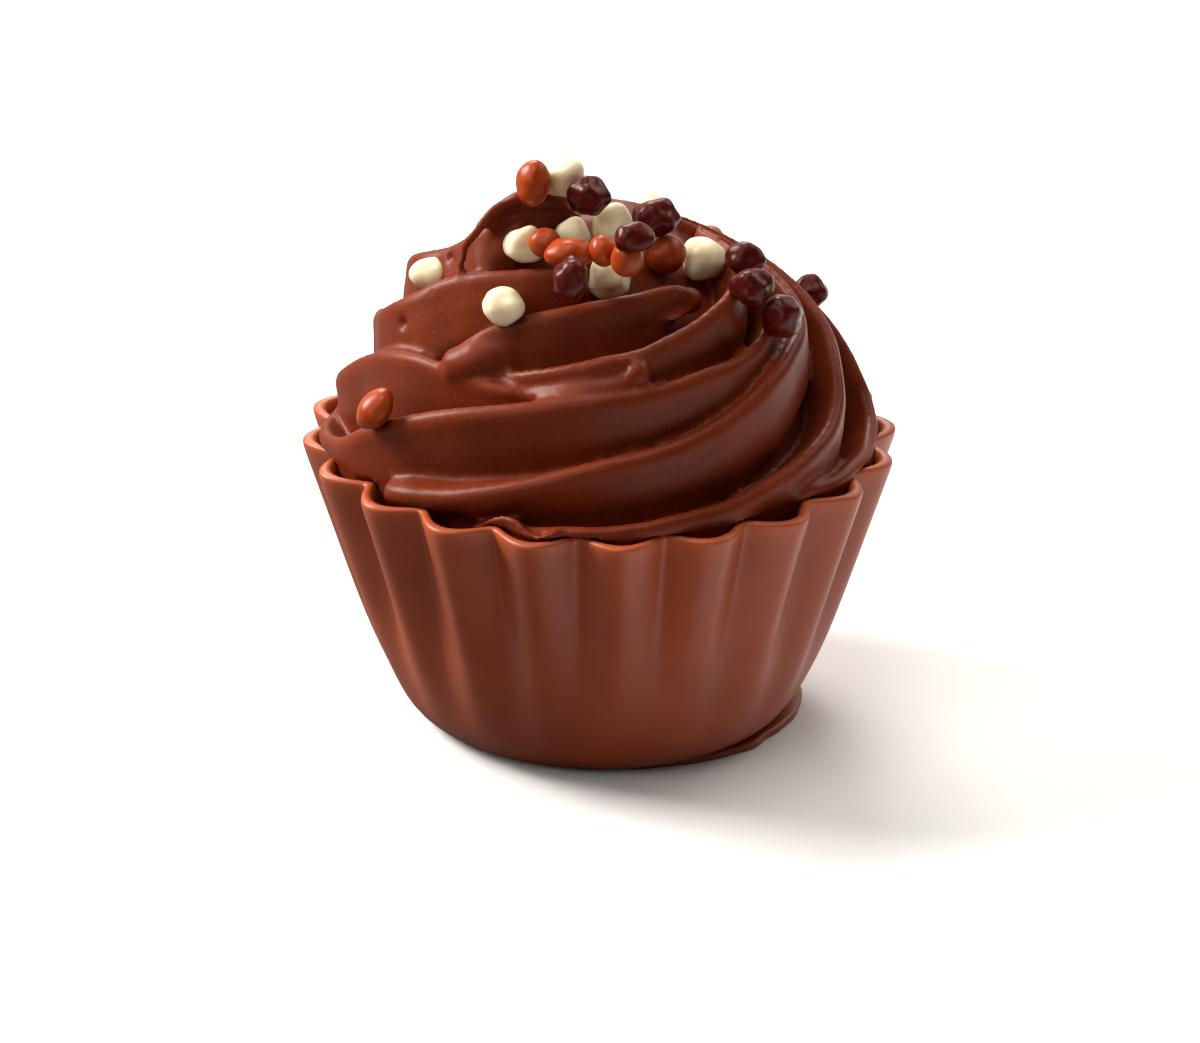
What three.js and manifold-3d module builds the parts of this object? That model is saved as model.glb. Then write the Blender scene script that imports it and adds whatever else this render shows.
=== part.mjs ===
// A chocolate truffle shaped like a small cupcake: a moulded, fluted milk chocolate cup that stands
// on a thin spread of chocolate, filled with ganache that is piped up into a tall twisted swirl.
// Millimetres, +Z up. The origin is the middle of the flat base and -Y is the front.
// An azimuth is measured round +Z, from the front (0) towards +X (90).
import * as THREE from 'three';
import { mergeVertices } from 'three/addons/utils/BufferGeometryUtils.js';
import Module from 'manifold-3d';

// The cup
const RIM_HEIGHT = 19;
const FLUTES = 20;
const FIRST_FLUTE = 4.6; // azimuth of the flute nearest the front
const STEPS_PER_FLUTE = 6;
const VALLEY_SHARPNESS = 0.75; // 0 for a plain wave, 1 for scallops that meet in a sharp crease
const WALL = 1.0;
const FLOOR = 1.4;
// From the base up: height, radius at the flute's crest, depth of the valley between two flutes.
const CUP_OUTSIDE = [
  [0, 10.4, 0],
  [0.3, 11.4, 0],
  [1.0, 12.4, 0],
  [2.1, 13.2, 0.05],
  [4.0, 14.1, 0.3],
  [7.5, 15.5, 0.85],
  [12.5, 17.15, 1.4],
  [18.7, 19.05, 1.8],
  [RIM_HEIGHT, 18.85, 1.75],
];
const CUP_INSIDE_HEIGHTS = [FLOOR, 2.6, 4.5, 7.5, 12.5, RIM_HEIGHT];
const FLOOR_CORNER = 1.6; // how far the floor stops short of the wall
const RIM_ROUNDING = 0.3; // height over which the rim's outer edge is rounded

// The spread of chocolate under the cup: it shows on the right, where it ran out furthest.
const FOOT_THICKNESS = 0.5;
const FOOT_RADIUS = 11.0;
const FOOT_SPREAD = 2.1; // how much further it reaches at its widest
const FOOT_WIDEST = 88; // azimuth
const FOOT_WAVE = 0.12; // its edge is wavy
const FOOT_WAVES = 5;
const FOOT_SLOPE = 0.3;
const FOOT_STEPS = 56;

// The ganache
const GAP = 0.3; // between the ganache and the cup
const FILL_LEVEL = 16.9; // in the pockets that the flutes leave round the swirl
const CORE_STEPS = 32;
const CLEAR_ABOVE = 30; // radius and height of the free space over the rim
const CLEAR_STEPS = 24;
// The mass of the swirl behind its ridges, from inside the cup to the peak, which leans to the left
// and back: height, radius, and the middle's x and y.
const CORE = [
  [8, 13.2, 0, 0],
  [16, 15.0, 0, 0],
  [19.5, 14.6, 0, 0],
  [22, 13.4, 0, 0],
  [24.5, 11.8, 0, 0],
  [27, 9.8, -0.2, 0.3],
  [29.5, 7.9, -0.7, 0.9],
  [31.4, 6.2, -1.3, 1.4],
  [32.6, 4.6, -1.7, 1.7],
  [33.5, 2.6, -1.9, 1.9],
];

// Each ridge left by the star nozzle, as stations of its crest: azimuth, radius, height. It climbs
// towards growing azimuths. The last number of a row scales the ridge's section there.
const RIDGES = {
  rightEdge: [[40, 16.4, 19.7, 0.6], [68, 17.7, 19.6, 1], [90, 17.6, 20.2, 1.1], [101, 16.6, 22.9, 1.1],
    [113, 13.6, 26.9, 0.9], [136, 9.6, 30, 0.7], [185, 4.2, 33.4, 0.45]],
  frontLow: [[-26, 16.9, 18.9, 0.6], [-8, 18, 19.6, 0.9], [16, 17.9, 20.2, 1.05], [38, 17.2, 21.1, 1.1],
    [67, 16.3, 23.2, 1.1], [91, 14.1, 26.9, 0.9], [120, 9.9, 30.2, 0.7], [180, 3.6, 33.5, 0.4]],
  frontMiddle: [[-50, 17.8, 19.6, 1], [-29, 17.2, 20.9, 1.1], [0, 16.1, 23.3, 1.2], [28, 15.4, 25, 1.15],
    [59, 14, 27.7, 1], [92, 11.3, 29.5, 0.75], [140, 5.6, 32.5, 0.5]],
  frontHigh: [[-104, 17.5, 19, 0.8], [-71, 17.9, 20.6, 1.05], [-41, 15.8, 24.9, 1.2], [-9, 14.4, 26.8, 1.1],
    [26, 13.8, 27.9, 1], [55, 12.6, 28.9, 0.8], [100, 7.9, 31.1, 0.5]],
  leftLobe: [[-142, 17.7, 19.4, 0.9], [-97, 17.1, 22.1, 1.2], [-64, 13.9, 26.6, 1.05], [-35, 12.5, 26.7, 0.8]],
  frontUpper: [[-30, 12.3, 26.8, 0.6], [-5, 12.9, 28.7, 0.95], [11, 12.5, 29.3, 1], [32, 11.5, 30.4, 0.9],
    [58, 9.9, 31.6, 0.65], [100, 6.2, 32.7, 0.45]],
  frontTongue: [[-28, 13.2, 26.2, 0.6], [-12, 13.9, 27.4, 0.85], [2, 13.8, 28.1, 0.9], [9, 13.5, 28.4, 0.8]],
  backRight: [[92, 17.5, 19.4, 0.9], [124, 16.9, 22.2, 1.2], [162, 13.2, 27.3, 1], [208, 7.8, 31.3, 0.7],
    [236, 5.5, 32.9, 0.5]],
  back: [[138, 17.6, 19.3, 0.9], [172, 16.8, 22.8, 1.2], [214, 13.2, 27.3, 1], [262, 8.7, 31.2, 0.65],
    [286, 6.7, 32.5, 0.5]],
  backLeft: [[180, 17.6, 19.7, 0.9], [216, 17, 22.3, 1.2], [256, 15.1, 25.8, 1.2], [280, 13.9, 28.5, 1.1],
    [295, 10.6, 31.2, 0.95], [334, 7.6, 32.5, 0.65]],
  upperFront: [[-47, 13.2, 27, 0.9], [-30, 10.6, 30.2, 1.05], [6, 9, 31.5, 1], [29, 8.7, 31.8, 0.9], [42, 9, 30.2, 0.65]],
  upperLeft: [[-170, 12.6, 26.2, 0.8], [-128, 13.7, 28.1, 1.1], [-100, 12.3, 30.4, 1.05], [-70, 7.4, 32.3, 0.6]],
  backUpper: [[140, 11.6, 28, 0.8], [195, 8, 32, 0.8], [255, 5.5, 33.8, 0.5]],
  peak: [[-65, 9.9, 31.3, 0.3], [-65, 8.3, 34.2, 0.45], [-69, 5.8, 35, 0.5], [-77, 1.8, 34.4, 0.4]],
};
const RIDGE_STEPS = 2; // from one station to the next
const SMALLEST_DETAIL = 0.06;
const WELD = 1e-3;
const TIP_LEAN = 0.55; // share of the swirl's own slope by which a ridge points upwards
const SWIRL_HEIGHT = 15.5; // above the rim
const SWIRL_RADIUS = 18;
// A ridge cut across: distance outwards from the crest, distance up from it.
const RIDGE_SECTION = [
  [0, -0.28],
  [-0.22, -1.4],
  [-0.75, -3.0],
  [-1.8, -4.8],
  [-4.2, -5.0],
  [-4.3, -2.7],
  [-2.4, -1.35],
  [-0.7, 0],
];

const MILK_CHOCOLATE = new THREE.MeshStandardMaterial({ color: 0x8a4526, roughness: 0.38, metalness: 0 });
const GANACHE = new THREE.MeshStandardMaterial({ color: 0x5a2a1a, roughness: 0.42, metalness: 0 });

const wasm = await Module();
wasm.setup();

const around = (azimuth, radius, height) => {
  const angle = THREE.MathUtils.degToRad(azimuth);
  return new THREE.Vector3(radius * Math.sin(angle), -radius * Math.cos(angle), height);
};

// A closed skin over a stack of rings with equal numbers of points, with a fan at each end.
function loft(rings) {
  const count = rings[0].length;
  const points = rings.flat();
  const triangles = [];
  for (let r = 0; r + 1 < rings.length; r++) {
    for (let i = 0; i < count; i++) {
      const a = r * count + i;
      const b = r * count + (i + 1) % count;
      triangles.push(a, b, b + count, a, b + count, a + count);
    }
  }
  for (const [start, flip] of [[0, true], [(rings.length - 1) * count, false]]) {
    const middle = new THREE.Vector3();
    for (let i = 0; i < count; i++) middle.addScaledVector(points[start + i], 1 / count);
    points.push(middle);
    for (let i = 0; i < count; i++) {
      const a = start + i;
      const b = start + (i + 1) % count;
      triangles.push(...(flip ? [b, a] : [a, b]), points.length - 1);
    }
  }
  const geometry = new THREE.BufferGeometry().setFromPoints(points);
  geometry.setIndex(triangles);
  return geometry;
}

function solid(geometry, weld = 1e-4) {
  const merged = mergeVertices(geometry, weld);
  return new wasm.Manifold(new wasm.Mesh({
    numProp: 3,
    vertProperties: merged.attributes.position.array,
    triVerts: new Uint32Array(merged.index.array),
  }));
}

function geometryOf(manifold) {
  const mesh = manifold.getMesh();
  const geometry = new THREE.BufferGeometry();
  geometry.setAttribute('position', new THREE.BufferAttribute(mesh.vertProperties, 3));
  geometry.setIndex(new THREE.BufferAttribute(mesh.triVerts, 1));
  return geometry;
}

// One ring of the cup, with its flutes: rounded crests with narrow valleys between them.
function flutedRing(height, crestRadius, depth) {
  const ring = [];
  for (let i = 0; i < FLUTES * STEPS_PER_FLUTE; i++) {
    const turn = i / STEPS_PER_FLUTE;
    const wave = 0.5 + 0.5 * Math.cos(2 * Math.PI * turn);
    const scallop = Math.abs(Math.cos(Math.PI * turn));
    const fullness = THREE.MathUtils.lerp(wave, scallop, VALLEY_SHARPNESS);
    ring.push(around(FIRST_FLUTE + turn * 360 / FLUTES, crestRadius - depth * (1 - fullness), height));
  }
  return ring;
}

// The cup's outside at a height, between the rows of its table: radius at the crest, valley depth.
function outsideAt(height) {
  const above = Math.max(1, CUP_OUTSIDE.findIndex((row) => row[0] >= height));
  const [low, high] = [CUP_OUTSIDE[above - 1], CUP_OUTSIDE[above]];
  const share = (height - low[0]) / (high[0] - low[0]);
  return [THREE.MathUtils.lerp(low[1], high[1], share), THREE.MathUtils.lerp(low[2], high[2], share)];
}

// The hollow of the cup as a solid, shrunk by a margin all round, up to a level.
function hollow(margin, level) {
  const rings = CUP_INSIDE_HEIGHTS.filter((height) => height < level).concat(level).map((height) => {
    const [crestRadius, depth] = outsideAt(Math.min(height, RIM_HEIGHT - RIM_ROUNDING));
    const corner = height === FLOOR ? FLOOR_CORNER : 0;
    return flutedRing(height + (height === FLOOR ? margin : 0), crestRadius - WALL - margin - corner, depth);
  });
  return solid(loft(rings));
}

function cup() {
  const outside = solid(loft(CUP_OUTSIDE.map((row) => flutedRing(...row))));
  const foot = [0, FOOT_THICKNESS].map((height) => {
    const ring = [];
    for (let i = 0; i < FOOT_STEPS; i++) {
      const azimuth = i * 360 / FOOT_STEPS;
      const away = THREE.MathUtils.degToRad(azimuth - FOOT_WIDEST);
      const spread = FOOT_SPREAD * Math.pow(0.5 + 0.5 * Math.cos(away), 2) + FOOT_WAVE * Math.sin(FOOT_WAVES * away);
      ring.push(around(azimuth, FOOT_RADIUS + spread - FOOT_SLOPE * height, height));
    }
    return ring;
  });
  return outside.add(solid(loft(foot))).subtract(hollow(0, RIM_HEIGHT + 1));
}

// The outward direction of a ridge at its crest, tilted up as the swirl's own side slopes inwards.
function outwardAt(azimuth, radius, height) {
  const up = (height - RIM_HEIGHT) / SWIRL_HEIGHT ** 2;
  const tilt = TIP_LEAN * Math.atan2(up, radius / SWIRL_RADIUS ** 2);
  return around(azimuth, Math.cos(tilt), Math.sin(tilt));
}

// One ridge: its section carried along the crest.
function ridge(stations) {
  const curve = new THREE.CatmullRomCurve3(stations.map((row) => around(row[0], row[1], row[2])));
  const rings = [];
  const steps = RIDGE_STEPS * (stations.length - 1);
  for (let step = 0; step <= steps; step++) {
    const t = step / steps;
    const place = t * (stations.length - 1);
    const before = Math.min(Math.floor(place), stations.length - 2);
    const [from, to] = [stations[before], stations[before + 1]];
    const [azimuth, radius, height, scale] = from.map((value, i) =>
      THREE.MathUtils.lerp(value, to[i], place - before));
    const along = curve.getTangent(t);
    const outward = outwardAt(azimuth, radius, height);
    outward.addScaledVector(along, -outward.dot(along)).normalize();
    const up = new THREE.Vector3().crossVectors(outward, along);
    const crest = curve.getPoint(t);
    rings.push(RIDGE_SECTION.map(([out, rise]) => crest.clone()
      .addScaledVector(outward, out * scale)
      .addScaledVector(up, rise * scale)));
  }
  return solid(loft(rings));
}

// The largest closed skin of a body: hollows that ridges close over are filled, slivers dropped.
function outerSkin(body) {
  const skins = solid(geometryOf(body), WELD).decompose();
  const largest = skins.sort((a, b) => b.volume() - a.volume())[0];
  return skins.length > 1 ? outerSkin(largest) : largest;
}

function swirl() {
  const core = CORE.map(([height, radius, x, y]) => {
    const middle = new THREE.Vector3(x, y, 0);
    const ring = [];
    for (let i = 0; i < CORE_STEPS; i++) ring.push(around(i * 360 / CORE_STEPS, radius, height).add(middle));
    return ring;
  });
  let body = hollow(0, FILL_LEVEL).add(solid(loft(core)));
  for (const stations of Object.values(RIDGES)) body = body.add(ridge(stations));
  // It keeps clear of the cup: inside the hollow below the rim, and free above it.
  const over = new THREE.CylinderGeometry(CLEAR_ABOVE, CLEAR_ABOVE, CLEAR_ABOVE, CLEAR_STEPS).rotateX(Math.PI / 2);
  over.translate(0, 0, RIM_HEIGHT + GAP + CLEAR_ABOVE / 2);
  over.deleteAttribute('normal');
  over.deleteAttribute('uv');
  body = body.intersect(hollow(GAP, RIM_HEIGHT + 1).add(solid(over)));
  return outerSkin(body.simplify(SMALLEST_DETAIL));
}

const truffle = new THREE.Group();
for (const [name, body, material] of [['cup', cup(), MILK_CHOCOLATE], ['swirl', swirl(), GANACHE]]) {
  const mesh = new THREE.Mesh(geometryOf(body), material);
  mesh.name = name;
  truffle.add(mesh);
}

export default truffle;
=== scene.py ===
import math

import bpy
from mathutils import Matrix, Vector
from mathutils.bvhtree import BVHTree


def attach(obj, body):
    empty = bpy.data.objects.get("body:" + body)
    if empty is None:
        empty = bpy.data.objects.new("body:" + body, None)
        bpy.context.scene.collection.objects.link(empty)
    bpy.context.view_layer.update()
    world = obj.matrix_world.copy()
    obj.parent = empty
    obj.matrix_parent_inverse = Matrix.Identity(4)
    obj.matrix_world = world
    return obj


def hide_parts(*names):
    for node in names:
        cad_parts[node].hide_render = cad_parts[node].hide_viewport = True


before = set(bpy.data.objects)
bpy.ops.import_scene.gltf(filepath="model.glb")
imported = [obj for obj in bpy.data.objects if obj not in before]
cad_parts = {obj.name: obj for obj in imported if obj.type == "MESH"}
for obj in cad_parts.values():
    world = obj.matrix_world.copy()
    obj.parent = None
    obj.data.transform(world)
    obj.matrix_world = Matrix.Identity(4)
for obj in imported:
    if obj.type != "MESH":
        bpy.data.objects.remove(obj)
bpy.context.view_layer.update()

bpy.ops.object.select_all(action="DESELECT")


# ------------------------------------------------------------------ the cup
# A fluted cup of milk chocolate, a millimetre thick at the rim, cast in a fluted mould. It stands
# on a thin spread of the same chocolate, which ran out from under it on the right and set there.

MM = 0.001
RIM_HEIGHT = 19
FLUTES = 20
FIRST_FLUTE = 4.6  # azimuth of the flute nearest the front, in degrees towards +X
FLUTE_STEPS = 16  # points round each flute
RIM_SHARPNESS = 0.85  # how pinched the valleys are at the rim
RIM_SHIFT = Vector((-0.1, -0.3))  # the cup leans a little to the front
# Up the outside, over the rim and down the inside: height, radius at the crest and depth of the
# valley, in millimetres.
CUP_RINGS = [
    (0, 10.3, 0), (0.12, 11.0, 0), (0.45, 11.75, 0), (1.0, 12.45, 0), (2.1, 13.2, 0.05),
    (3.6, 13.95, 0.2), (5.5, 14.78, 0.4), (7.8, 15.62, 0.7), (10.5, 16.5, 1.15),
    (13.5, 17.45, 1.5), (16.5, 18.4, 1.8), (18.2, 18.95, 1.85), (18.8, 19.1, 1.9),
    (19.0, 18.95, 1.88), (19.0, 18.4, 1.8), (18.8, 18.15, 1.75), (18.2, 17.95, 1.7),
    (15.0, 17.0, 1.5), (11.0, 15.6, 1.2), (7.0, 14.0, 0.8), (3.5, 12.2, 0.3), (1.8, 10.6, 0),
    (1.4, 8.6, 0),
]
FOOT_RADIUS = 10  # of the circle that the spread is drawn from
FOOT_THICKNESS = 0.5
# Up the edge of the spread: rise in millimetres, the share by which it widens or narrows.
FOOT_RINGS = [(0.1, 1.006), (FOOT_THICKNESS - 0.16, 1), (0.06, 0.985), (0.02, 0.94)]
# The outline of the spread: azimuth, radius.
FOOT_OUTLINE = [
    (-180, 10.4), (-90, 10.2), (-40, 10.3), (0, 10.6), (20, 11.1), (34, 11.6), (44, 12.0),
    (54, 12.5), (60, 12.3), (66, 12.6), (80, 13.0), (95, 13.2), (115, 12.4), (140, 11.2),
    (180, 10.4),
]


def place(azimuth, radius, height):
    """A point in metres, from millimetres round the middle of the cup."""
    turn = math.radians(azimuth)
    return Vector((radius * math.sin(turn), -radius * math.cos(turn), height)) * MM


def azimuth_of(spot):
    """The azimuth of a point, in degrees."""
    return math.degrees(math.atan2(spot.x, -spot.y))


def fullness(azimuth, height):
    """1 on the crest of a flute, 0 in the valley between two."""
    sharpness = RIM_SHARPNESS * min(height / RIM_HEIGHT, 1) ** 2
    turn = (azimuth - FIRST_FLUTE) * FLUTES / 360
    wave = 0.5 + 0.5 * math.cos(2 * math.pi * turn)
    scallop = abs(math.cos(math.pi * turn))
    return wave + (scallop - wave) * sharpness


def finish_with(piece, kind, **settings):
    """Puts a modifier on a piece and applies it."""
    modifier = piece.modifiers.new(kind.lower(), kind)
    for name, value in settings.items():
        setattr(modifier, name, value)
    bpy.context.view_layer.objects.active = piece
    bpy.ops.object.modifier_apply(modifier=modifier.name)


def join(pieces, name):
    """Makes one piece of several, under the name given."""
    bpy.ops.object.select_all(action="DESELECT")
    for piece in pieces:
        piece.select_set(True)
    bpy.context.view_layer.objects.active = pieces[0]
    bpy.ops.object.join()
    joined = bpy.context.object
    joined.name = joined.data.name = name
    bpy.ops.object.select_all(action="DESELECT")
    return joined


bpy.ops.mesh.primitive_circle_add(
    vertices=FLUTES * FLUTE_STEPS, radius=CUP_RINGS[0][1] * MM,
    rotation=(0, 0, math.radians(FIRST_FLUTE)))
bpy.ops.object.transform_apply(rotation=True)
cup = bpy.context.object
bpy.ops.object.mode_set(mode="EDIT")
bpy.ops.mesh.select_all(action="SELECT")
for below, above in zip(CUP_RINGS, CUP_RINGS[1:]):
    bpy.ops.mesh.extrude_region_move(
        TRANSFORM_OT_translate={"value": (0, 0, (above[0] - below[0]) * MM)})
    bpy.ops.transform.resize(value=(above[1] / below[1],) * 2 + (1,))
bpy.ops.mesh.select_all(action="SELECT")
bpy.ops.mesh.normals_make_consistent(inside=False)
bpy.ops.object.mode_set(mode="OBJECT")
# The valleys between the flutes are drawn in, each ring by its own depth.
for vert in cup.data.vertices:
    reach = vert.co.xy.length / MM
    height, radius, depth = min(
        CUP_RINGS, key=lambda ring: abs(ring[0] - vert.co.z / MM) + abs(ring[1] - reach))
    vert.co.xy *= 1 - depth * (1 - fullness(azimuth_of(vert.co), height)) / radius
    vert.co.xy += RIM_SHIFT * MM * height / RIM_HEIGHT
finish_with(cup, "SUBSURF", levels=1, render_levels=1)


def close_ends(piece):
    """Fills the two open ends of a turned shape."""
    bpy.context.view_layer.objects.active = piece
    bpy.ops.object.mode_set(mode="EDIT")
    bpy.ops.mesh.select_all(action="SELECT")
    bpy.ops.mesh.fill_holes(sides=0)
    bpy.ops.object.mode_set(mode="OBJECT")


close_ends(cup)


def along(table, at):
    """The second column of a table, read smoothly between its rows."""
    for before, after in zip(table, table[1:]):
        if before[0] <= at <= after[0]:
            share = (at - before[0]) / (after[0] - before[0])
            return before[1] + (after[1] - before[1]) * share * share * (3 - 2 * share)


bpy.ops.object.select_all(action="DESELECT")
bpy.ops.mesh.primitive_circle_add(vertices=120, radius=FOOT_RADIUS * MM)
foot = bpy.context.object
for vert in foot.data.vertices:
    vert.co.xy *= along(FOOT_OUTLINE, azimuth_of(vert.co)) / FOOT_RADIUS
bpy.ops.object.mode_set(mode="EDIT")
bpy.ops.mesh.select_all(action="SELECT")
for rise, reach in FOOT_RINGS:
    bpy.ops.mesh.extrude_region_move(TRANSFORM_OT_translate={"value": (0, 0, rise * MM)})
    bpy.ops.transform.resize(value=(reach, reach, 1), center_override=(0, 0, 0))
bpy.ops.mesh.select_all(action="SELECT")
bpy.ops.mesh.normals_make_consistent(inside=False)
bpy.ops.object.mode_set(mode="OBJECT")
finish_with(foot, "SUBSURF", levels=1, render_levels=1)
close_ends(foot)

cup = join([cup, foot], "chocolate_cup")
for face in cup.data.polygons:
    face.use_smooth = True


class Wire:
    """A socket in a material's nodes that can be added, multiplied and handed to other nodes."""

    def __init__(self, tree, socket=None):
        self.tree, self.socket = tree, socket

    def node(self, kind, settings, inputs, output=0):
        made = self.tree.nodes.new("ShaderNode" + kind)
        for name, value in settings.items():
            setattr(made, name, value)
        for name, value in inputs.items():
            self.feed(made.inputs[name], value)
        return Wire(self.tree, made.outputs[output])

    def part(self, number):
        """One of the three coordinates of a vector."""
        return self.node("SeparateXYZ", {}, {0: self}, number)

    def bump(self, strength, distance):
        """The normal of a surface that is raised and lowered by this wire."""
        return self.node("Bump", {}, {"Strength": strength, "Distance": distance, "Height": self})

    def feed(self, socket, value):
        if isinstance(value, Wire):
            self.tree.links.new(value.socket, socket)
        else:
            socket.default_value = value

    def maths(self, operation, *values):
        return self.node("Math", {"operation": operation}, dict(enumerate(values)))

    def mix(self, share, one, other):
        return self.node("Mix", {"data_type": "RGBA"}, {0: share, 6: one, 7: other}, 2)

    def between(self, low, high):
        """0 below low, 1 above high, smooth from one to the other."""
        return self.node(
            "MapRange", {"interpolation_type": "SMOOTHSTEP"}, {0: self, 1: low, 2: high})

    def noise(self, size, detail):
        """Cloudy noise from 0 to 1 with patches about size metres across."""
        return self.node("TexNoise", {}, {"Vector": self, "Scale": 1 / size, "Detail": detail})

    def __add__(self, other):
        return self.maths("ADD", self, other)

    def __mul__(self, other):
        return self.maths("MULTIPLY", self, other)

    __radd__ = __add__
    __rmul__ = __mul__


OBJECT_COORDINATES = 3  # the number of that output on the texture coordinates node


def new_finish(name, **fixed):
    """A material with its fixed sockets set: the object coordinates, and its shader's inputs."""
    material = bpy.data.materials.new(name)
    material.use_nodes = True
    tree = material.node_tree
    shader = tree.nodes["Principled BSDF"].inputs
    for socket, value in fixed.items():
        shader[socket.replace("_", " ")].default_value = value
    where = Wire(tree).node("TexCoord", {}, {}, OBJECT_COORDINATES)
    return material, where, shader


def rgb(red, green, blue):
    return (red, green, blue, 1)


milk_chocolate, where, shader = new_finish(
    "milk_chocolate", IOR=1.46, Specular_IOR_Level=0.5,
    Subsurface_Weight=0.15, Subsurface_Radius=(1.0, 0.32, 0.12), Subsurface_Scale=1.2 * MM)
height = where.part(2)
clouds = where.noise(6 * MM, 3)
grain = where.noise(0.35 * MM, 2)
# Painted glow: the cup is coloured a lighter orange towards the rim, standing in for light shining
# through the thin wall there.
painted_rim_glow = height.between(17.2 * MM, 19.0 * MM)
body = where.mix(clouds.between(0.3, 0.7), rgb(0.260, 0.040, 0.0078), rgb(0.305, 0.049, 0.0098))
body = where.mix(painted_rim_glow * 0.4, body, rgb(0.42, 0.085, 0.020))
body = where.mix(grain.between(0.62, 0.8) * 0.25, body, rgb(0.20, 0.029, 0.006))
where.feed(shader["Base Color"], body)
where.feed(shader["Roughness"], 0.36 + clouds * 0.10 + grain * 0.04)
ripple = where.noise(0.9 * MM, 3) * 0.6 + grain * 0.4
where.feed(shader["Normal"], ripple.bump(0.25, 0.05 * MM))
cup.data.materials.append(milk_chocolate)

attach(cup, "root")
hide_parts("cup")


# ---------------------------------------------------------------- the swirl
# Chocolate ganache piped into the cup from a star nozzle, in one rope that winds up to a peak.
# Each point of the star leaves a ridge: a lip, and a soft face below it that falls back to the
# next ridge.

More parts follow.
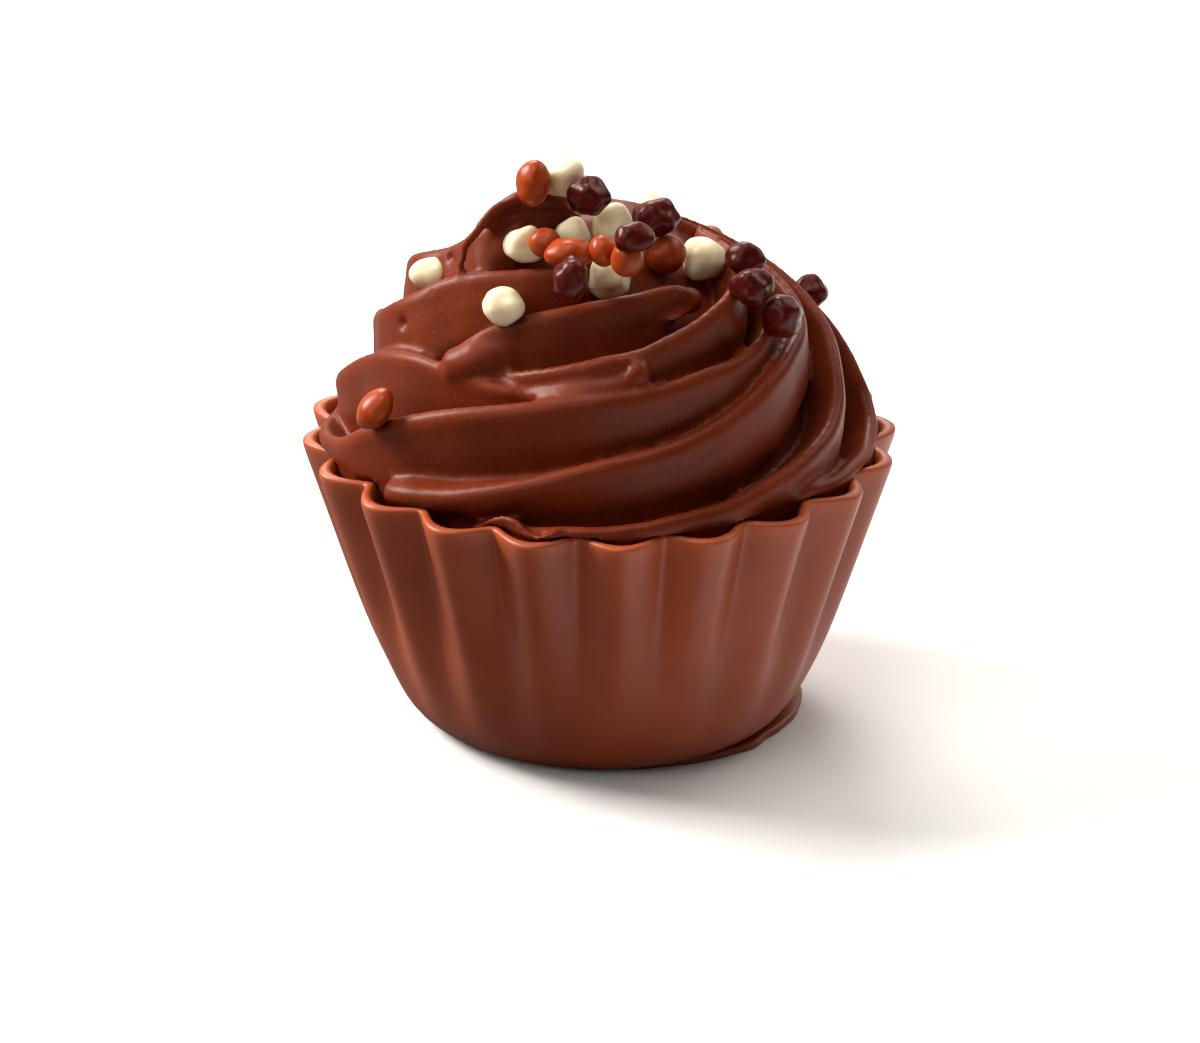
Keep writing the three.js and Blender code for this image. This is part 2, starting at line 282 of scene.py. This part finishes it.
# Stations of each ridge's lip: azimuth, radius, height, the size of its section there and, where
# it is rolled, by how many degrees its face is turned up, or down if less than 0.
RIDGES = {
    "right edge": [
        (39.5, 16.4, 19.7, 0.6), (51.5, 17.4, 19.7, 0.8), (68, 17.7, 19.6, 1),
        (84, 17.6, 19.5, 1.1), (95, 17.5, 20.6, 1.1), (101, 16.6, 22.9, 1.1),
        (106, 15.3, 25.1, 1), (113, 13.6, 26.9, 0.9), (123, 11.8, 28.3, 0.8), (136, 9.6, 30, 0.7),
        (155, 6.8, 32.1, 0.6), (185, 4.2, 33.4, 0.45),
    ],
    "front low": [
        (-29, 16.6, 18.5, 0.5), (-21, 17.2, 19.1, 0.7), (-14, 17.7, 19.3, 0.8),
        (-8, 18.0, 19.6, 0.9), (0, 18.1, 19.7, 0.95), (7.6, 18.1, 19.9, 1),
        (15.7, 17.9, 20.2, 1.05), (27, 17.6, 20.5, 1.1), (38, 17.2, 21.1, 1.1),
        (51, 16.9, 21.9, 1.1), (67, 16.3, 23.2, 1.1), (79, 15.2, 25.4, 1), (91, 14.1, 26.9, 0.9),
        (104, 12.4, 28.5, 0.8), (120, 9.9, 30.2, 0.7), (145, 6.6, 32.1, 0.55),
        (180, 3.6, 33.5, 0.4),
    ],
    "front low curl": [
        (-26.5, 17, 18.8, 0.25), (-23.7, 17.3, 19.4, 0.33), (-20, 17.6, 19.9, 0.36),
        (-17.1, 17.9, 19.9, 0.38), (-14.3, 18.3, 19.4, 0.38), (-11.8, 18.6, 19.3, 0.38),
        (-9.9, 18.5, 19.5, 0.36), (-8.2, 18.1, 19.8, 0.3),
    ],
    "front middle": [
        (-50.5, 17.9, 18.9, 1.5, -55), (-45.9, 18, 19.1, 1.6, -55), (-37.5, 17.6, 19.6, 1.6, -48),
        (-28.8, 17.3, 20.5, 1.5, -34), (-14.6, 16.7, 22.0, 1.3, -14), (-0.3, 16.1, 23.3, 1.2),
        (14.7, 15.8, 24.1, 1.2), (27.6, 15.4, 25.0, 1.15), (37.6, 15, 25.9, 1.1),
        (46, 14.7, 26.8, 1.05), (59.4, 14, 27.7, 1), (74, 13.1, 28.4, 0.9),
        (92, 11.3, 29.5, 0.75), (112, 8.7, 30.8, 0.6), (140, 5.6, 32.5, 0.5),
    ],
    "front high": [
        (-104, 17.5, 19, 0.8), (-84, 18.1, 19.7, 0.95), (-70.8, 17.9, 20.6, 1.05),
        (-58.5, 17.1, 22.8, 1.15), (-41.4, 15.8, 24.9, 1.2), (-24.9, 14.9, 26.0, 1.15),
        (-8.6, 14.4, 26.8, 1.1), (2.7, 14.2, 27.1, 1.1), (13.9, 14.0, 27.4, 1.05),
        (25.9, 13.8, 27.9, 1), (40.5, 13.4, 28.2, 0.9), (55, 12.6, 28.9, 0.8),
        (74, 10.7, 29.8, 0.65), (100, 7.9, 31.1, 0.5),
    ],
    "left lobe": [
        (-142, 17.7, 19.4, 0.9), (-118, 17.8, 20.1, 1.1), (-97, 17.1, 22.1, 1.2),
        (-80, 15.1, 25.1, 1.2), (-64, 13.9, 26.6, 1.05), (-48.7, 13.3, 26.8, 0.95),
        (-38, 13.1, 26.6, 0.85), (-28, 12.9, 26.5, 0.75), (-16, 12.4, 26.6, 0.6),
    ],
    "front upper": [
        (-34, 12.0, 26.8, 0.6), (-16, 12.7, 28.0, 0.8), (-5.3, 12.9, 28.7, 0.9),
        (2.6, 12.8, 29.1, 1), (10.7, 12.5, 29.3, 1), (20.5, 11.9, 29.8, 0.95),
        (31.6, 11.5, 30.4, 0.9), (38.4, 11.2, 30.8, 0.85), (44.5, 11, 31.2, 0.8),
        (58, 9.9, 31.6, 0.65), (78, 8.2, 32.2, 0.5), (100, 6.2, 32.7, 0.45),
    ],
    "tongue": [
        (-24, 12.9, 26.0, 0.5, -44), (-17, 13.5, 26.4, 0.9, -46), (-9, 13.9, 26.8, 1.35, -49),
        (-1, 14.0, 27.1, 1.5, -49), (5, 13.9, 27.3, 1.5, -49), (8.5, 13.7, 27.6, 1.35, -49),
    ],
    "back right": [
        (92, 17.5, 19.4, 0.9), (108, 17.5, 20.3, 1.1), (124, 16.9, 22.2, 1.2),
        (142, 15.4, 24.7, 1.1), (162, 13.2, 27.3, 1), (184, 10.6, 29.4, 0.85),
        (208, 7.8, 31.3, 0.7), (236, 5.5, 32.9, 0.5),
    ],
    "back": [
        (138, 17.6, 19.3, 0.9), (154, 17.5, 20.7, 1.1), (172, 16.8, 22.8, 1.2),
        (192, 15.3, 25.1, 1.1), (214, 13.2, 27.3, 1), (236, 11.1, 29.2, 0.85),
        (262, 8.7, 31.2, 0.65), (286, 6.7, 32.5, 0.5),
    ],
    "back left": [
        (180, 17.6, 19.7, 0.9), (198, 17.5, 20.9, 1.1), (216, 17, 22.3, 1.2),
        (238, 16, 24.0, 1.2), (256, 14.9, 25.8, 1.2), (268, 14.2, 27.0, 1.15),
        (277, 13.7, 28.2, 1.1), (286, 12.4, 29.7, 1), (295.4, 10.6, 31.2, 0.95),
        (313.9, 8.9, 32.2, 0.85), (334.3, 7.6, 32.5, 0.65), (352, 6.9, 32.2, 0.45),
    ],
    "upper front": [
        (-45.6, 12.6, 28.2, 0.5), (-43.5, 12.2, 28.7, 0.65), (-40, 11.7, 29.3, 0.76),
        (-30.4, 10.6, 30.2, 0.92), (-13.3, 9.6, 31.0, 1), (5.6, 9, 31.5, 1),
        (19.4, 8.8, 31.7, 0.95), (28.6, 8.7, 31.8, 0.9), (36.9, 8.8, 31.5, 0.8),
        (41.2, 9, 30.7, 0.6), (42.3, 9, 29.9, 0.4),
    ],
    "upper left": [
        (-170, 12.6, 26.2, 0.8), (-148, 13.6, 27.0, 1), (-128, 13.6, 28.1, 1.1),
        (-112, 13.0, 29.2, 1.1), (-100, 12.3, 30.1, 1.05), (-92, 11.4, 31.0, 1),
        (-84, 9.9, 31.9, 0.95), (-76, 8.9, 32.95, 0.9), (-69, 8.2, 33.95, 0.9),
        (-60, 7.3, 34.4, 0.8), (-50, 6.4, 34.2, 0.6),
    ],
    "back upper": [
        (140, 11.6, 28, 0.8), (165, 10, 30.1, 0.9), (195, 8, 32, 0.8), (230, 6.2, 33.1, 0.65),
        (255, 5.5, 33.8, 0.5),
    ],
}
# The end of the rope was drawn off into a curl of thin leaves, one below the other, that lean
# over towards the front. They all face the same azimuth.
LEAVES = {
    "curl": [
        (-58.6, 9, 34.6, 0.25, -25), (-58.1, 8.7, 35, 0.34, -25), (-57.8, 8, 35.6, 0.46, -25),
        (-56.8, 7.2, 36, 0.5, -25), (-56.6, 6.2, 36.2, 0.6, -25), (-55.6, 5.1, 36.3, 0.7, -25),
        (-53.4, 4, 36.1, 0.7, -25), (-51.2, 2.9, 35.7, 0.55, -25), (-45.7, 1.7, 34.8, 0.35, -25),
    ],
    "curl middle": [
        (-55.3, 7, 34.8, 0.3), (-53.6, 6.4, 35.1, 0.4), (-51.6, 5.5, 35.2, 0.42),
        (-48.2, 4.5, 35, 0.42), (-42.9, 3.5, 34.9, 0.4), (-30, 2.6, 34.6, 0.45),
    ],
    "curl inside": [
        (-57.6, 6.9, 34.1, 0.3), (-56.8, 6.4, 34.3, 0.38), (-55.2, 5.6, 34.4, 0.4),
        (-52.1, 4.6, 34.2, 0.4), (-45.1, 3.4, 33.9, 0.42), (-30, 2.6, 33.7, 0.45),
    ],
}
LEAVES_FACE = -15  # that azimuth
# The rounded edge of the curl, which starts on the left as a thin stalk.
STALK = {
    "curl stalk": [
        (-62.3, 10.1, 31.3, 0.22), (-61.1, 10.1, 32.1, 0.26), (-60.7, 10, 32.7, 0.28),
        (-60.1, 9.8, 33.5, 0.3), (-58.3, 9.4, 34.1, 0.32), (-57, 8.8, 35, 0.32),
        (-56.6, 8.1, 35.6, 0.3), (-55.6, 7.3, 35.9, 0.28), (-56.6, 6.2, 35.8, 0.3),
        (-55.6, 5.1, 35.6, 0.3), (-53.4, 4, 35.4, 0.3), (-51.1, 2.9, 35, 0.28),
    ],
}
# Round knobs: azimuth, radius, height, size. The first five overlap to make the rounded end of
# the upper front ridge on the left; the others are the tongue's end and that ridge's right end.
KNOBS = [
    (-45.1, 12.45, 26.8, 1.25), (-42.8, 12.2, 27, 1.33), (-40.5, 11.8, 27.3, 1.42),
    (-38.2, 11.2, 27.4, 1.55), (-35.6, 10.5, 27.5, 1.7), (9.2, 12.8, 27.9, 0.95),
    (39.5, 8.5, 30.4, 0.85),
]
# The mass of ganache behind the ridges: height, radius, and its middle's x and y.
CORE = [
    (13, 15.2, 0, 0), (16.5, 17.3, 0, 0), (16.9, 17.0, 0, 0), (17.1, 15.0, 0, 0),
    (19.5, 14.6, 0, 0), (22, 13.4, 0, 0), (24.5, 11.8, 0, 0), (27, 9.8, -0.2, 0.3),
    (29.5, 7.9, -0.7, 0.9), (31.4, 6.2, -1.3, 1.4), (32.6, 4.6, -1.7, 1.7),
    (33.5, 2.6, -1.9, 1.9),
]
# A ridge cut across: distance outwards from the lip, distance up from it.
RIDGE_SECTION = [
    (0, -0.28), (-0.22, -1.4), (-0.75, -3.0), (-1.8, -4.8), (-4.2, -5.0), (-4.3, -2.7),
    (-2.4, -1.35), (-1.0, -0.2), (-0.4, 0.1),
]
LEAF_SECTION = [
    (0.1, 0.1), (-0.6, -1.3), (-2.2, -3.1), (-4.2, -3.6), (-4.3, -2.0), (-2.6, -0.6),
    (-0.6, 0.35),
]
STALK_SECTION = [(1, 0), (0, 1), (-1, 0), (0, -1)]
LIP_LEAN = 0.4  # share of the swirl's own slope by which a lip points upwards
SWIRL_HEIGHT = 15.5  # of the dome that the swirl roughly fills, above the rim
SWIRL_RADIUS = 18
UP = Vector((0, 0, 1))
CORE_SIDES = 64
FINENESS = 0.245  # the edge of the cells in which the ridges, knobs and core are fused


def pipe(paths, cut_across, facing=None):
    """Draws each path as a curve, gives it the section cut_across, and returns them as meshes.

    The section faces away from the swirl's middle, or towards the azimuth facing."""
    bpy.ops.curve.primitive_bezier_circle_add(radius=MM)
    section = bpy.context.object
    outline = section.data.splines[0]
    outline.bezier_points.add(len(cut_across) - len(outline.bezier_points))
    for point, (out, rise) in zip(outline.bezier_points, cut_across):
        point.co = Vector((out, rise, 0)) * MM
        point.handle_left_type = point.handle_right_type = "AUTO"
    section.data.resolution_u = 3
    ridges = []
    for name, stations in paths.items():
        bpy.ops.curve.primitive_bezier_curve_add()
        ridge = bpy.context.object
        ridge.name = name.replace(" ", "_")
        ridge.data.resolution_u = 10
        ridge.data.twist_mode = "Z_UP"
        lip = ridge.data.splines[0]
        lip.bezier_points.add(len(stations) - len(lip.bezier_points))
        spots = [place(*station[:3]) for station in stations]
        for number, (azimuth, radius, height, size, *roll) in enumerate(stations):
            point = lip.bezier_points[number]
            point.co = spots[number]
            point.handle_left_type = point.handle_right_type = "AUTO"
            point.radius = size
            # The section is turned to face out of the swirl, whichever way the ridge runs.
            following, previous = spots[min(number + 1, len(spots) - 1)], spots[max(number - 1, 0)]
            ahead = (following - previous).normalized()
            slope = LIP_LEAN * math.atan2(
                (height - RIM_HEIGHT) / SWIRL_HEIGHT ** 2, radius / SWIRL_RADIUS ** 2)
            slope += math.radians(sum(roll))
            towards = azimuth if facing is None else facing
            outward = place(towards, math.cos(slope), math.sin(slope))
            outward -= ahead * outward.dot(ahead)
            side = ahead.cross(UP).normalized()
            point.tilt = -math.atan2(outward.dot(side.cross(ahead)), outward.dot(side))
        ridge.data.bevel_mode = "OBJECT"
        ridge.data.bevel_object = section
        ridge.data.use_fill_caps = True
        ridges.append(ridge)
    bpy.ops.object.select_all(action="DESELECT")
    for ridge in ridges:
        ridge.select_set(True)
    bpy.context.view_layer.objects.active = ridges[0]
    bpy.ops.object.convert(target="MESH")
    bpy.data.objects.remove(section)
    return ridges


ridges = pipe(RIDGES, RIDGE_SECTION)
ridges += pipe(LEAVES, LEAF_SECTION, LEAVES_FACE)
ridges += pipe(STALK, STALK_SECTION)

bpy.ops.object.select_all(action="DESELECT")
height, radius, x, y = CORE[0]
bpy.ops.mesh.primitive_circle_add(
    vertices=CORE_SIDES, radius=radius * MM, location=(x * MM, y * MM, height * MM),
    fill_type="NGON")
bpy.ops.object.transform_apply(location=True)
core = bpy.context.object
bpy.ops.object.mode_set(mode="EDIT")
bpy.ops.mesh.select_all(action="SELECT")
for below, above in zip(CORE, CORE[1:]):
    move = Vector((above[2] - below[2], above[3] - below[3], above[0] - below[0])) * MM
    bpy.ops.mesh.extrude_region_move(TRANSFORM_OT_translate={"value": move})
    middle = Vector((above[2], above[3], above[0])) * MM
    bpy.ops.transform.resize(value=(above[1] / below[1],) * 2 + (1,), center_override=middle)
bpy.ops.mesh.select_all(action="SELECT")
bpy.ops.mesh.normals_make_consistent(inside=False)
bpy.ops.object.mode_set(mode="OBJECT")

knobs = []
for azimuth, radius, height, size in KNOBS:
    bpy.ops.mesh.primitive_uv_sphere_add(
        segments=24, ring_count=12, radius=size * MM, location=place(azimuth, radius, height))
    knobs.append(bpy.context.object)
    bpy.ops.object.transform_apply(location=True)

swirl = join([core] + ridges + knobs, "ganache_swirl")
finish_with(swirl, "REMESH", mode="VOXEL", voxel_size=FINENESS * MM, use_smooth_shade=True)
finish_with(swirl, "SMOOTH", factor=0.5, iterations=3)


FIRST_RING_INSIDE = 16  # the row of CUP_RINGS where the wall starts down inside
WALL_GAP = 0.08  # between the ganache and the wall
# Between these two heights the ganache may spread out over the rim, by up to so much.
SPREAD_FROM, SPREAD_TO, SPREAD = 18.9, 19.35, 2.6


def inside_of_cup(spot):
    """How far out the ganache may reach here, just clear of the cup's wall."""
    down = CUP_RINGS[FIRST_RING_INSIDE:]
    height = max(min(spot.z / MM, down[0][0]), down[-1][0])
    for upper, lower in zip(down, down[1:]):
        if lower[0] <= height:
            share = (height - lower[0]) / (upper[0] - lower[0])
            radius = lower[1] + (upper[1] - lower[1]) * share
            depth = lower[2] + (upper[2] - lower[2]) * share
            return radius - depth * (1 - fullness(azimuth_of(spot), height)) - WALL_GAP
    return down[-1][1]


# Where it was piped against the wall it stays inside, and where it meets the rim it lies on it.
for vert in swirl.data.vertices:
    if vert.co.z < SPREAD_TO * MM:
        reach = vert.co.xy.length / MM
        limit = inside_of_cup(vert.co)
        if vert.co.z > SPREAD_FROM * MM:
            limit += (vert.co.z / MM - SPREAD_FROM) / (SPREAD_TO - SPREAD_FROM) * SPREAD
        if reach > limit:
            vert.co.xy *= limit / reach

# Where the camera stands, measured from the middle of the base.
VIEWPOINT = Vector((-0.06, -362.729, 168.604)) * MM
# Dimples and pits left by bubbles: x and z where each is seen against the upright plane through
# the middle, its half width and its depth.
DIMPLES = [
    (-12.69, 26.16, 0.6, 0.32), (-10.90, 28.22, 0.22, 0.12), (-9.13, 27.62, 0.25, 0.07),
    (2.76, 26.03, 0.32, 0.18), (1.39, 23.14, 0.42, 0.28), (1.77, 23.55, 0.35, 0.2),
    (-9.69, 30.67, 0.5, 0.3), (-5.23, 18.18, 0.25, 0.06), (2.45, 18.94, 0.25, 0.06),
    (-2.70, 24.75, 0.3, 0.08),
]
# Thin creases along the curl, each a line of such points.
CREASES = [
    [(-6.53, 33.13), (-5.77, 33.71), (-4.64, 34.02), (-3.38, 34.00), (-2.24, 33.91)],
    [(-6.03, 32.73), (-5.27, 33.24), (-4.32, 33.49), (-3.25, 33.43), (-2.11, 33.24)],
]
CREASE_WIDTH = 0.3  # half of it, like a dimple's
CREASE_DEPTH = 0.11
CREASE_STEP = 0.15  # from one point pressed in to the next


def line_of_sight(x, z):
    """The direction in which the camera sees this point of the upright plane."""
    return (Vector((x, 0, z)) * MM - VIEWPOINT).normalized()


for crease in CREASES:
    for start, end in zip(crease, crease[1:]):
        steps = round(math.dist(start, end) / CREASE_STEP)
        for step in range(steps):
            x, z = Vector(start).lerp(Vector(end), step / steps)
            DIMPLES.append((x, z, CREASE_WIDTH, CREASE_DEPTH))

smooth_skin = BVHTree.FromObject(swirl, bpy.context.evaluated_depsgraph_get())
for x, z, width, depth in DIMPLES:
    way = line_of_sight(x, z)
    middle, normal = smooth_skin.ray_cast(VIEWPOINT, way)[:2]
    for vert in swirl.data.vertices:
        share = 1 - (vert.co - middle).length_squared / (width * MM) ** 2
        if share > 0:
            vert.co -= normal * depth * MM * share * share

ganache, where, shader = new_finish(
    "ganache", IOR=1.46, Specular_IOR_Level=0.17,
    Subsurface_Weight=0.1, Subsurface_Radius=(1.0, 0.3, 0.12), Subsurface_Scale=0.8 * MM)
clouds = where.noise(5 * MM, 3)
grain = where.noise(0.2 * MM, 2)
body = where.mix(clouds.between(0.3, 0.7), rgb(0.124, 0.0160, 0.0032), rgb(0.156, 0.0215, 0.0046))
body = where.mix(grain.between(0.58, 0.75) * 0.45, body, rgb(0.27, 0.056, 0.014))
where.feed(shader["Base Color"], body)
where.feed(shader["Roughness"], 0.34 + clouds * 0.08 + grain * 0.06)
ripple = where.noise(0.8 * MM, 3) * 0.6 + grain * 0.4
where.feed(shader["Normal"], ripple.bump(0.3, 0.05 * MM))
swirl.data.materials.append(ganache)

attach(swirl, "root")
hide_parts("swirl")


# --------------------------------------------------------- the cream pearls
# Crisp cereal balls in white chocolate, tumbled so that their coats are waxy and a little lumpy.
# They were scattered on the soft ganache and stick where they landed, most of them near the peak.

FRONT, BACK = -25, 25
# Each pearl: x and z where it is seen against the upright plane through the middle, its width and
# height, how far it is turned, and the y from which it is let in towards the swirl. Those on the
# far side are placed as from a camera behind, and let in from BACK. Two start further in, behind
# a ridge that hides part of them.
CREAM_PEARLS = [
    (-2.70, 36.12, 2.88, 2.69, 20, FRONT), (-1.85, 32.16, 2.31, 2.31, 0, FRONT),
    (0.54, 32.99, 2.69, 2.56, 70, FRONT), (-5.01, 31.52, 2.50, 2.31, 10, FRONT),
    (6.38, 30.68, 2.69, 2.63, 40, FRONT), (0.38, 29.34, 2.63, 2.63, 0, FRONT),
    (-6.33, 27.38, 2.69, 2.37, 30, FRONT), (-11.02, 29.44, 2.37, 2.24, 0, -1.2),
    (3.0, 25.4, 2.5, 2.4, 0, BACK), (-4.2, 23.6, 2.6, 2.4, 30, BACK),
]
PEARL_SINK = 0.14  # share of its radius by which a pearl is pressed into the ganache
PEARL_TOUCH = 0.97  # share of their two radii at which two pearls touch
MOST_STEPS = 1000
SHORTEST_STEP = 0.02  # millimetres

ganache_skin = BVHTree.FromObject(swirl, bpy.context.evaluated_depsgraph_get())
landed = []


def let_in(x, z, radius, start):
    """Slides a pearl along the line of sight, from the front or from behind, until it touches the
    ganache or a pearl that is there."""
    way, spot = line_of_sight(x, z), VIEWPOINT.copy()
    if start == BACK:
        way.y, spot.y = -way.y, -spot.y
    spot += way * ((start * MM - spot.y) / way.y)
    best, best_room = spot.copy(), math.inf
    for step in range(MOST_STEPS):
        room = ganache_skin.find_nearest(spot)[3] - radius * (1 - PEARL_SINK)
        for other, size in landed:
            room = min(room, (spot - other).length - (radius + size) * PEARL_TOUCH)
        if room < best_room:
            best, best_room = spot.copy(), room
        if room <= 0:
            break
        spot = spot + way * max(room * 0.5, SHORTEST_STEP * MM)
    if best_room > 0:
        near = ganache_skin.find_nearest(best)[0]
        best += (near - best).normalized() * best_room
    landed.append((best, radius))
    return best


def scatter(rows, name, lumps, lump_size):
    """Makes one ball for each row, lumpy and turned its own way, and joins them."""
    balls = []
    for x, z, width, height, turn, start in rows:
        radius = (width + height) / 4 * MM
        spot = let_in(x, z, radius, start)
        bpy.ops.mesh.primitive_ico_sphere_add(subdivisions=5, radius=radius, location=spot)
        ball = bpy.context.object
        ball.scale = (width * MM / radius / 2, 1, height * MM / radius / 2)
        ball.rotation_euler = (0, math.radians(turn), 0)
        bpy.ops.object.transform_apply(location=True, rotation=True, scale=True)
        balls.append(ball)
    pearls = join(balls, name)
    texture = bpy.data.textures.new(name, "CLOUDS")
    texture.noise_scale = lump_size * MM
    texture.noise_depth = 0
    finish_with(
        pearls, "DISPLACE", texture=texture, texture_coords="LOCAL", strength=lumps * MM,
        mid_level=0.5)
    for face in pearls.data.polygons:
        face.use_smooth = True
    return pearls


cream_pearls = scatter(CREAM_PEARLS, "pearls_cream", lumps=0.55, lump_size=1.3)

cream_coat, where, shader = new_finish(
    "cream_coat", IOR=1.46,
    Subsurface_Weight=0.6, Subsurface_Radius=(1.0, 0.8, 0.5), Subsurface_Scale=0.8 * MM)
clouds = where.noise(0.9 * MM, 3)
grain = where.noise(0.2 * MM, 2)
body = where.mix(clouds.between(0.3, 0.7), rgb(0.72, 0.60, 0.38), rgb(0.80, 0.69, 0.48))
where.feed(shader["Base Color"], body)
where.feed(shader["Roughness"], 0.40 + clouds * 0.15)
ripple = clouds * 0.7 + grain * 0.3
where.feed(shader["Normal"], ripple.bump(0.35, 0.05 * MM))
cream_pearls.data.materials.append(cream_coat)

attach(cream_pearls, "root")


# ------------------------------------------------------- the caramel pearls
# The same cereal balls in caramel chocolate, with a smooth, glossy coat. Some are egg-shaped, and
# two that stuck together while they were coated make a double one.

CARAMEL_PEARLS = [
    (-4.46, 35.70, 2.18, 2.95, 4, FRONT), (-3.68, 31.74, 1.92, 1.79, 0, FRONT),
    (-2.14, 30.97, 3.15, 1.95, 0, FRONT), (0.05, 31.23, 1.92, 2.05, 0, FRONT),
    (1.51, 30.77, 2.05, 2.44, 10, FRONT), (3.91, 31.00, 2.69, 2.44, 0, FRONT),
    (-14.51, 20.24, 2.05, 2.95, 35, FRONT), (0.4, 23.8, 2.1, 2.2, 0, BACK),
    (7.2, 21.5, 2.1, 2.5, 20, BACK),
]
caramel_pearls = scatter(CARAMEL_PEARLS, "pearls_caramel", lumps=0.25, lump_size=1.4)

caramel_coat, where, shader = new_finish(
    "caramel_coat", IOR=1.47, Specular_IOR_Level=0.25,
    Subsurface_Weight=0.15, Subsurface_Radius=(1.0, 0.4, 0.15), Subsurface_Scale=0.5 * MM)
clouds = where.noise(0.8 * MM, 3)
body = where.mix(clouds.between(0.3, 0.7), rgb(0.27, 0.026, 0.002), rgb(0.34, 0.052, 0.005))
where.feed(shader["Base Color"], body)
where.feed(shader["Roughness"], 0.26 + clouds * 0.12)
where.feed(shader["Normal"], clouds.bump(0.25, 0.04 * MM))
caramel_pearls.data.materials.append(caramel_coat)

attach(caramel_pearls, "root")


# ---------------------------------------------------------- the dark pearls
# The same cereal balls in dark chocolate. Their coats are thin, so the knobs of the puffed grain
# show through, and the gloss catches on each knob.

DARK_PEARLS = [
    (-0.99, 34.86, 2.63, 2.63, 0, FRONT), (3.25, 33.49, 2.95, 2.31, 0, FRONT),
    (1.87, 32.13, 2.44, 1.79, 0, FRONT), (-2.09, 29.25, 2.24, 2.82, 0, FRONT),
    (9.04, 30.70, 2.44, 2.05, 0, FRONT), (9.39, 28.81, 2.69, 2.44, 0, FRONT),
    (11.39, 26.85, 2.69, 2.69, 0, FRONT), (13.20, 28.64, 2.31, 2.18, 0, 4),
    (-1.8, 26.4, 2.5, 2.4, 0, BACK), (4.4, 20.8, 2.4, 2.4, 0, BACK),
]
dark_pearls = scatter(DARK_PEARLS, "pearls_dark", lumps=0.45, lump_size=1.0)

dark_coat, where, shader = new_finish("dark_coat", IOR=1.47, Specular_IOR_Level=0.18)
clouds = where.noise(0.7 * MM, 3)
body = where.mix(clouds.between(0.3, 0.7), rgb(0.048, 0.0032, 0.0013), rgb(0.090, 0.0065, 0.0032))
where.feed(shader["Base Color"], body)
where.feed(shader["Roughness"], 0.24 + clouds * 0.12)
where.feed(shader["Normal"], clouds.bump(0.2, 0.05 * MM))
dark_pearls.data.materials.append(dark_coat)

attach(dark_pearls, "root")


# ------------------------------------------------- the floor and the lights
# A plain pale floor that runs on to a white surround. The main light is large and soft, high on
# the left and a little behind; a lamp and a broad backdrop stand behind, and weaker lamps fill in
# from the front, above and the right. The floor's colour for the light it throws back is painted
# brighter on the right: a painted pool of bounced light. The camera sees the floor evenly pale.

bpy.ops.mesh.primitive_plane_add(size=4)
floor = bpy.context.object
floor.name = "floor"
white_floor, where, shader = new_finish("white_floor", Roughness=0.6)
# Painted pool of bounced light: for light bouncing off it, the floor is coloured dark on the left
# and near white on the right, while the camera sees it an even pale.
painted_bounce = where.mix(
    where.part(0).between(-4 * MM, 18 * MM), rgb(0.1, 0.1, 0.1), rgb(0.95, 0.95, 0.95))
seen = where.node("LightPath", {}, {})
where.feed(shader["Base Color"], where.mix(seen, painted_bounce, rgb(0.85, 0.845, 0.845)))
floor.data.materials.append(white_floor)

world = bpy.data.worlds.new("studio")
bpy.context.scene.world = world
world.use_nodes = True
surround = Wire(world.node_tree)
seen = surround.node("LightPath", {}, {})
background = world.node_tree.nodes["Background"].inputs
surround.feed(background["Color"], rgb(1, 1, 1))
surround.feed(background["Strength"], 0.05 + seen)

# Name, where it hangs in millimetres, its sides, its power in watts. They all point at the swirl.
LIGHTS = [
    ("key", (-290, 80, 230), (170, 170), 2.8),
    ("back", (-40, 280, 280), (160, 160), 0.9),
    ("backdrop", (0, 330, 220), (700, 400), 0.8),
    ("right", (230, 130, 240), (160, 160), 0.3),
    ("front", (-200, -280, 260), (260, 260), 0.5),
    ("top", (-30, -60, 400), (200, 200), 0.6),
]
LIT_SPOT = Vector((0, 0, 20)) * MM
for name, spot, sides, power in LIGHTS:
    bpy.ops.object.light_add(type="AREA", location=Vector(spot) * MM)
    lamp = bpy.context.object
    lamp.name = name
    lamp.data.shape = "RECTANGLE"
    lamp.data.size, lamp.data.size_y = (side * MM for side in sides)
    lamp.data.energy = power
    lamp.data.color = (1, 0.97, 0.91)
    lamp.rotation_euler = (LIT_SPOT - lamp.location).to_track_quat("-Z", "Y").to_euler()
    lamp.visible_camera = False

LENS = 183.81  # millimetres, on a sensor 36 across
LOOK_DOWN = 23.28  # degrees below level
ROLL = 0.48  # degrees
camera = bpy.data.objects.new("camera", bpy.data.cameras.new("camera"))
bpy.context.collection.objects.link(camera)
camera.data.sensor_width = 36
camera.data.lens = LENS
camera.data.clip_end = 20
camera.matrix_world = (
    Matrix.Translation(VIEWPOINT)
    @ Matrix.Rotation(math.radians(90 - LOOK_DOWN), 4, "X")
    @ Matrix.Rotation(math.radians(ROLL), 4, "Z"))
bpy.context.scene.camera = camera
bpy.context.scene.view_settings.view_transform = "Standard"
